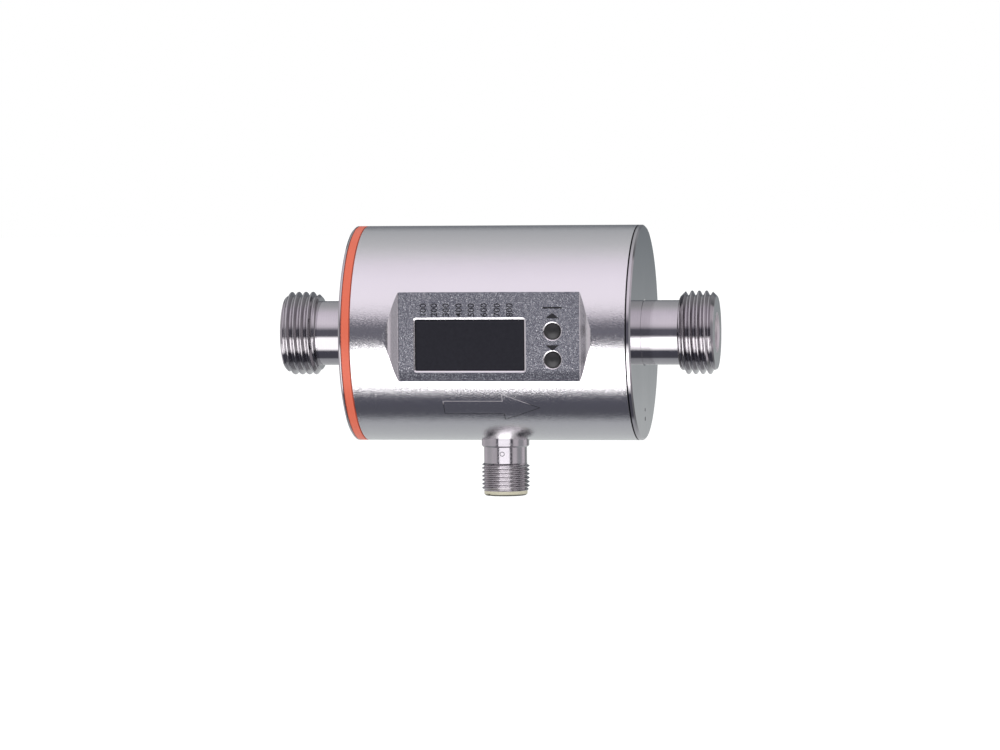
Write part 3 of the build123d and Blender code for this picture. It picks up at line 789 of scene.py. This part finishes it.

# Housing sleeve: a stainless tube, drawn, with the display flat pressed into it and then blasted
# to a satin that glitters where light turns to dark. The flat is blasted coarser, its sloped ends
# are rubbed bright by the punch, and the seam at the outlet end is painted dark, as shade in the
# gap with some dirt.
speck_scale = 1.6
pit_scale = 1.4
blasted_grain, grain_in, grain_out = new_group(
    "blasted_grain",
    [("Position", "Vector"), ("Grain", "Float")],
    [("Height", "Float"), ("Speck", "Float"), ("Pit", "Float"), ("Lean", "Vector")],
)
given = grain_in.outputs
grain_scale = figure(blasted_grain, "DIVIDE", 1.0, given["Grain"])
dimples = wire(
    blasted_grain,
    "TexNoise",
    {"Vector": given["Position"], "Scale": grain_scale, "Detail": 2.0, "Roughness": 0.65},
)
specks = wire(
    blasted_grain,
    "TexNoise",
    {
        "Vector": given["Position"],
        "Scale": figure(blasted_grain, "MULTIPLY", grain_scale, speck_scale),
        "Detail": 1.0,
    },
)
pits = wire(
    blasted_grain,
    "TexVoronoi",
    {
        "Vector": given["Position"],
        "Scale": figure(blasted_grain, "MULTIPLY", grain_scale, pit_scale),
    },
).outputs["Color"]
lean = wire(blasted_grain, "VectorMath", {0: pits, 1: (0.5, 0.5, 0.5)}, operation="SUBTRACT")
made = {
    "Height": dimples.outputs["Fac"],
    "Speck": specks.outputs["Fac"],
    "Pit": wire(blasted_grain, "SeparateColor", {0: pits}).outputs[0],
    "Lean": lean.outputs[0],
}
join(grain_out, made)

# The sleeve's finish changes on the flat, on its sloped ends and at the seam, and the flat's lower
# strip gets painted shade. Each of these is a mask by place, and by the way the surface faces
panel_y = -24.64 * mm
flat_facing = 0.998
flat_depth = 0.26 * mm
slope_facing = 0.6
slope_gap = 0.02 * mm
seam_x = 35.1 * mm
# The flat's lower strip is painted darker as shade, more so towards the bottom
strip_top = -7.8 * mm
strip_full = -9.2 * mm
strip_share = 0.9
wipe_share = 0.25
speck_dark = (0.70, 0.695, 0.705)
speck_light = (0.78, 0.775, 0.785)
wiped_tone = (0.68, 0.675, 0.69)
pit_dark = (0.56, 0.58, 0.62)
pit_light = (0.84, 0.85, 0.88)
strip_shade_tone = (0.33, 0.34, 0.37)
slope_tone = (0.66, 0.64, 0.66)
# Painted shade in the seam's gap, with some dirt
seam_shade_and_dirt = (0.03, 0.03, 0.034)
satin_grain = 0.30 * mm
satin_touch_size = 30 * mm
satin_roughness = 0.11
speck_roughness = 0.06
touch_roughness = 0.02
slope_roughness = 0.06
flat_roughness = 0.04
satin_relief = 0.026 * mm
flat_relief = 0.020 * mm
satin_lean = 0.055
flat_lean = 0.105

satin_steel, tree, shader, position = new_finish("satin_steel", 1.0)
grain = effect(tree, blasted_grain, {"Position": position, "Grain": satin_grain})
touch = effect(tree, handling, {"Position": position, "Size": satin_touch_size})["Mask"]
place = wire(tree, "SeparateXYZ", {0: position}).outputs
skin = wire(tree, "NewGeometry").outputs
facing = wire(tree, "SeparateXYZ", {0: skin["True Normal"]}).outputs
flat = figure(
    tree,
    "MULTIPLY",
    figure(tree, "LESS_THAN", facing["Y"], -flat_facing),
    figure(tree, "GREATER_THAN", place["Y"], panel_y - flat_depth),
)
slope = figure(
    tree,
    "MULTIPLY",
    figure(tree, "GREATER_THAN", figure(tree, "ABSOLUTE", facing["X"]), slope_facing),
    figure(tree, "LESS_THAN", place["Y"], panel_y - slope_gap),
)
seam = figure(tree, "GREATER_THAN", place["X"], seam_x)
# Painted shade on the flat's lower strip, darker towards the bottom
lower_strip_shade = graded(tree, place["Z"], strip_top, strip_full, 0.0, strip_share)
speckled = blended(tree, grain["Speck"], speck_dark, speck_light)
wiped = blended(tree, figure(tree, "MULTIPLY", touch, wipe_share), speckled, wiped_tone)
coarse = blended(tree, grain["Pit"], pit_dark, pit_light)
coarse = blended(tree, lower_strip_shade, coarse, strip_shade_tone)
tone = blended(tree, flat, wiped, coarse)
tone = blended(tree, slope, tone, slope_tone)
# The seam is painted dark, as shade in the gap with some dirt
tone = blended(tree, seam, tone, seam_shade_and_dirt)
rough = figure(tree, "MULTIPLY_ADD", grain["Speck"], speck_roughness, satin_roughness)
rough = figure(tree, "MULTIPLY_ADD", touch, touch_roughness, rough)
rough = figure(tree, "MULTIPLY_ADD", slope, slope_roughness, rough)
rough = figure(tree, "MULTIPLY_ADD", flat, flat_roughness, rough)
relief = figure(tree, "MULTIPLY_ADD", flat, flat_relief - satin_relief, satin_relief)

# Near its shallow edges the flat would shade as if it were round, so it keeps its true normals
levelled = wire(
    tree, "Mix", {0: flat, 4: skin["Normal"], 5: skin["True Normal"]}, data_type="VECTOR"
).outputs[1]
bump = embossed(tree, grain["Height"], relief, Normal=levelled)
lean_share = figure(tree, "MULTIPLY_ADD", flat, flat_lean - satin_lean, satin_lean)
leaning = scaled(tree, grain["Lean"], lean_share)
tilted = wire(tree, "VectorMath", {0: bump, 1: leaning}, operation="ADD").outputs[0]
normal = wire(tree, "VectorMath", {0: tilted}, operation="NORMALIZE").outputs[0]
join(shader, {"Base Color": tone, "Roughness": rough, "Normal": normal})
dress(satin_steel, "housing_sleeve")

# Insulating ring: an orange ring with a matt skin, moulded in one piece. It sits between the can
# and the inlet plate and keeps the two apart.
orange_plastic = moulded(
    "orange_plastic",
    light=(0.76, 0.150, 0.080),
    dark=(0.71, 0.130, 0.068),
    roughness=0.36,
    grain=0.35 * mm,
    relief=0.003 * mm,
)
dress(orange_plastic, "insulating_ring")

# End plates: stainless discs turned to a mirror, bevelled round the rim. The outlet one has two
# small punch marks near its lower edge.
plate_steel = turned_steel("plate_steel", roughness=0.05, feed=0.22 * mm, cut=0.0006 * mm)
dress(plate_steel, "inlet_end_plate", "outlet_end_plate")

# Display window: a pane of smoked plastic, glossy and nearly black. It is bedded on a gasket in
# the flat, and the display behind it sits dark.
window_plastic, tree, shader, position = new_finish("window_plastic")
smoke = wire(tree, "TexNoise", {"Vector": position, "Scale": 1500.0, "Detail": 3.0})
look = {
    "Base Color": blended(tree, smoke.outputs["Fac"], (0.014, 0.014, 0.019), (0.022, 0.022, 0.029)),
    "Roughness": 0.16,
}
join(shader, look)
dress(window_plastic, "display_window")

# Buttons: domed caps moulded from soft black plastic. Each stands in its own hole in the flat,
# over a small switch.
button_plastic = moulded(
    "button_plastic",
    light=(0.016, 0.017, 0.019),
    dark=(0.010, 0.010, 0.012),
    roughness=0.42,
    grain=0.2 * mm,
    relief=0.003 * mm,
)
dress(button_plastic, "mode_button", "set_button")

# Connector: a turned steel nipple with a fine thread, a cream moulded insert whose lip is painted
# dark as shade, and gilt pins. It is pressed into the can from below, and takes the plug of a cable.
insert_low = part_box("connector_insert")[0].z
# The insert's lip gets painted shade, from none at the first height to full at the second
lip_shade_start = 0.5 * mm
lip_shade_full = 0.25 * mm
insert_plastic = moulded(
    "insert_plastic",
    light=(0.62, 0.59, 0.46),
    dark=(0.54, 0.51, 0.38),
    roughness=0.45,
    grain=0.2 * mm,
    relief=0.004 * mm,
    shaded_foot=(insert_low + lip_shade_start, insert_low + lip_shade_full),
)
dress(insert_plastic, "connector_insert")

contact_brass, tree, shader, position = new_finish("contact_brass", 1.0)
plating = wire(tree, "TexNoise", {"Vector": position, "Scale": 2600.0, "Detail": 2.0})
look = {
    "Base Color": blended(tree, plating.outputs["Fac"], (0.90, 0.66, 0.28), (0.80, 0.55, 0.22)),
    "Roughness": 0.22,
}
join(shader, look)
dress(contact_brass, "contact_pins")

can_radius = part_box("housing_sleeve")[1].z
shell_low, shell_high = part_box("connector_shell")
shell_top = -shell_high.z
thread_end = -shell_low.z
connector_x = (shell_low.x + shell_high.x) / 2
collar_outside = (shell_high.x - shell_low.x) / 2
connector_major = 6.0 * mm
connector_pitch = 1.0 * mm
connector_depth = 0.613 * mm
connector_flank = radians(30)
thread_begin = thread_end - 7.0 * mm
connector_chamfer = 0.5 * mm
neck_outside = 5.42 * mm
collar_foot = 28.65 * mm
collar_chamfer = 0.35 * mm
spigot_outside = 5.0 * mm
insert_bore = 3.95 * mm
cup_bore = 4.9 * mm
seal_place = 30.9 * mm
neck_bridge = 0.2 * mm
lip_bridge = 0.15 * mm
connector_crest = 33.58 * mm
# The painted shade in the thread's roots keeps this far from its ends, roots and crests
connector_shade_short = 0.1 * mm
connector_shade_root = 0.1 * mm
connector_shade_crest = 0.05 * mm
saddle = can_radius
connector_root = connector_major - connector_depth
neck_runout_end = thread_begin + connector_chamfer
chamfer_start = thread_end - connector_chamfer
chamfer_radius = connector_major - connector_chamfer


def connector_crest_limit(x):
    """How far out a crest may stand: chamfered at both ends of the thread."""
    back = ramp_between(x, thread_begin, neck_runout_end, neck_outside, connector_major)
    front = ramp_between(x, chamfer_start, thread_end, connector_major, chamfer_radius)
    return min(back, front)


def connector_root_limit(x):
    """How deep a root may go: the tool runs out onto the neck."""
    return ramp_between(x, thread_begin, neck_runout_end, neck_outside, connector_root)


connector_outline = [
    (thread_end, chamfer_radius - lip_bridge),
    (thread_end, cup_bore),
    (seal_place, cup_bore),
    (seal_place, insert_bore),
    (shell_top, insert_bore),
    (shell_top, spigot_outside),
    (saddle, spigot_outside),
    (saddle, collar_outside),
    (collar_foot - collar_chamfer, collar_outside),
    (collar_foot, collar_outside - collar_chamfer),
    (collar_foot, neck_outside),
    (thread_begin - neck_bridge, neck_outside),
]
nipple = threaded_bar(
    thread_profile(connector_major, connector_pitch, connector_depth, connector_flank),
    connector_pitch,
    thread_begin,
    thread_end,
    connector_crest,
    connector_crest_limit,
    connector_root_limit,
    connector_outline,
)

# The foot of the collar follows the round of the can
for vert in nipple.verts:
    if abs(vert.co.x - saddle) < same_place:
        vert.co.x = sqrt(can_radius**2 - vert.co.y**2)
bmesh.ops.rotate(nipple, cent=(0, 0, 0), matrix=Matrix.Rotation(pi / 2, 3, "Y"), verts=nipple.verts)
bmesh.ops.translate(nipple, vec=(connector_x, 0, 0), verts=nipple.verts)
soft_edges(nipple)
connector_steel = turned_steel(
    "connector_steel",
    roughness=0.16,
    feed=0.10 * mm,
    cut=0.0016 * mm,
    centre=(0, 0, connector_x),
    turn=(0, pi / 2, 0),
    thread={
        "Middle": (thread_begin + thread_end) / 2,
        "Half Length": (thread_end - thread_begin) / 2 - connector_shade_short,
        "Root": connector_root + connector_shade_root,
        "Crest": connector_major - connector_shade_crest,
    },
)
finished(nipple, "threaded_connector", connector_steel, "housing", "polished_steel", "connector_shell")

# Marks: a laser has darkened the steel in fine even lines. Plain numbers stand over the window,
# a small sign over each button, and the outline of an arrow shows which way the flow runs.
etched, tree, shader, position = new_finish("etched_mark")
burn = wire(tree, "TexNoise", {"Vector": position, "Scale": 5200.0, "Detail": 2.0})
look = {
    "Base Color": blended(tree, burn.outputs["Fac"], (0.012, 0.012, 0.015), (0.035, 0.035, 0.042)),
    "Roughness": 0.6,
    "Specular IOR Level": 0.15,
}
join(shader, look)
mark_height = 0.015 * mm
mark_sink = 0.01 * mm


def raised(mesh):
    """Give a flat drawing its thickness, from just under the surface to just above it."""
    top = bmesh.ops.extrude_face_region(mesh, geom=mesh.faces[:])["geom"]
    top_verts = [item for item in top if isinstance(item, bmesh.types.BMVert)]
    bmesh.ops.translate(mesh, vec=(0, 0, -mark_sink), verts=mesh.verts)
    bmesh.ops.translate(mesh, vec=(0, 0, mark_sink + mark_height), verts=top_verts)
    bmesh.ops.recalc_face_normals(mesh, faces=mesh.faces)


def onto_panel(mesh, x, z, turn=0.0):
    """Turn a flat drawing in its own plane, and lay it on the front of the panel."""
    bmesh.ops.rotate(mesh, cent=(0, 0, 0), matrix=Matrix.Rotation(turn, 3, "Z"), verts=mesh.verts)
    bmesh.ops.rotate(mesh, cent=(0, 0, 0), matrix=Matrix.Rotation(pi / 2, 3, "X"), verts=mesh.verts)
    bmesh.ops.translate(mesh, vec=(x, panel_y, z), verts=mesh.verts)


figure_size = 2.3 * mm
figure_weight = 0.02 * mm
figure_weld = 1e-7
figure_foot = 4.85 * mm
figure_columns = [x * mm for x in (-14.64, -11.9, -8.9, -5.7, -2.6, 0.6, 3.85, 7.0)]


def written(text, size):
    """Plain figures as a flat mesh, with the start of their baseline at the origin."""
    letters = bpy.data.curves.new("figures", type="FONT")
    letters.body = text
    letters.size = size
    letters.resolution_u = 3
    letters.offset = figure_weight
    carrier = bpy.data.objects.new("figures", letters)
    flat = carrier.to_mesh()
    mesh = bmesh.new()
    mesh.from_mesh(flat)
    carrier.to_mesh_clear()
    bpy.data.objects.remove(carrier)
    bpy.data.curves.remove(letters)
    bmesh.ops.remove_doubles(mesh, verts=mesh.verts, dist=figure_weld)
    return mesh


for index, column in enumerate(figure_columns):
    figures = written(str(100 * (index + 1)), figure_size)
    raised(figures)
    onto_panel(figures, column, figure_foot, pi / 2)
    finished(figures, f"panel_figure_{index + 1}", etched, "housing", "satin_steel")


def polygon(points):
    """A flat drawing with one straight-sided outline."""
    mesh = bmesh.new()
    mesh.faces.new([mesh.verts.new((x, y, 0)) for x, y in points])
    mesh.normal_update()
    return mesh


button_x = (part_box("mode_button")[0].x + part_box("mode_button")[1].x) / 2
sign_half_width = 1.7 * mm
sign_rise = 1.4 * mm
mode_sign_foot = 4.5 * mm
set_sign_foot = -2.1 * mm
for name, foot, direction in (("mode_sign", mode_sign_foot, 1), ("set_sign", set_sign_foot, -1)):
    corners = [(-sign_half_width, 0), (sign_half_width, 0), (0, direction * sign_rise)]
    sign = polygon(corners)
    raised(sign)
    onto_panel(sign, button_x, foot)
    finished(sign, name, etched, "housing", "satin_steel")

bar_half_width = 2.4 * mm
bar_thickness = 0.45 * mm
bar_foot = 6.9 * mm
corners = [
    (-bar_half_width, 0),
    (bar_half_width, 0),
    (bar_half_width, bar_thickness),
    (-bar_half_width, bar_thickness),
]
bar = polygon(corners)
raised(bar)
onto_panel(bar, button_x, bar_foot)
finished(bar, "mode_sign_bar", etched, "housing", "satin_steel")

arrow_tail = -11.15 * mm
arrow_neck = 3.73 * mm
arrow_tip = 13.07 * mm
arrow_middle = radians(-41.2)
arrow_half_shaft = can_radius * radians(4.8)
arrow_half_head = can_radius * radians(9.5)
arrow_line = 0.14 * mm
arrow_cuts = 12
arrow = polygon(
    [
        (arrow_tail, -arrow_half_shaft),
        (arrow_neck, -arrow_half_shaft),
        (arrow_neck, -arrow_half_head),
        (arrow_tip, 0),
        (arrow_neck, arrow_half_head),
        (arrow_neck, arrow_half_shaft),
        (arrow_tail, arrow_half_shaft),
    ]
)
inside = arrow.faces[:]
bmesh.ops.inset_region(
    arrow, faces=inside, thickness=arrow_line, use_boundary=True, use_even_offset=True
)
bmesh.ops.delete(arrow, geom=inside, context="FACES")
bmesh.ops.subdivide_edges(arrow, edges=arrow.edges[:], cuts=arrow_cuts, use_grid_fill=True)
raised(arrow)
for vert in arrow.verts:
    along, around, height = vert.co
    turn = arrow_middle + around / can_radius
    reach = can_radius + height
    vert.co = (along, -reach * cos(turn), reach * sin(turn))

# The arrow's line is painted by height: its upper stretches are painted as shining steel, a painted
# highlight, and the rest is dark, partly the laser's burn and partly painted shade
line_dark_top = -17.0 * mm
line_light_foot = -16.4 * mm
arrow_line_light_and_shade, tree, shader, position = new_finish("arrow_line_light_and_shade")
height = wire(tree, "SeparateXYZ", {0: position}).outputs["Z"]
# Painted highlight on the line's upper stretches, painted shade and burn below
highlit_share = graded(tree, height, line_dark_top, line_light_foot)
burr = wire(tree, "TexNoise", {"Vector": position, "Scale": 3000.0, "Detail": 2.0})
highlight_tone = blended(tree, burr.outputs["Fac"], (0.42, 0.41, 0.42), (0.66, 0.64, 0.66))
look = {
    "Base Color": blended(tree, highlit_share, (0.008, 0.008, 0.010), highlight_tone),
    "Metallic": highlit_share,
    "Roughness": 0.55,
    "Specular IOR Level": 0.2,
}
join(shader, look)
finished(arrow, "flow_arrow", arrow_line_light_and_shade, "housing", "satin_steel")

# Punch marks: two dots on the face of the outlet plate, and a small ring on the connector's neck,
# struck by the maker's tools.
plate_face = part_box("outlet_end_plate")[1].x
plate_punch_y = 0.05 * mm
plate_punches = ((-19.4 * mm, 0.45 * mm), (-21.65 * mm, 0.55 * mm))
for index, (height, radius) in enumerate(plate_punches):
    dot = bmesh.new()
    bmesh.ops.create_circle(dot, cap_ends=True, radius=radius, segments=24)
    raised(dot)
    bmesh.ops.rotate(dot, cent=(0, 0, 0), matrix=Matrix.Rotation(pi / 2, 3, "Y"), verts=dot.verts)
    bmesh.ops.translate(dot, vec=(plate_face, plate_punch_y, height), verts=dot.verts)
    finished(dot, f"plate_punch_{index + 1}", etched, "housing", "polished_steel")

punch_radius = 0.6 * mm
punch_line = 0.14 * mm
punch_height = -30.26 * mm
punch = bmesh.new()
bmesh.ops.create_circle(punch, cap_ends=True, radius=punch_radius, segments=32)
inside = punch.faces[:]
bmesh.ops.inset_region(
    punch, faces=inside, thickness=punch_line, use_boundary=True, use_even_offset=True
)
bmesh.ops.delete(punch, geom=inside, context="FACES")
raised(punch)
for vert in punch.verts:
    across, up, height = vert.co
    turn = across / neck_outside
    reach = neck_outside + height
    vert.co = (connector_x + reach * sin(turn), -reach * cos(turn), up + punch_height)
finished(punch, "neck_punch", etched, "housing", "polished_steel")
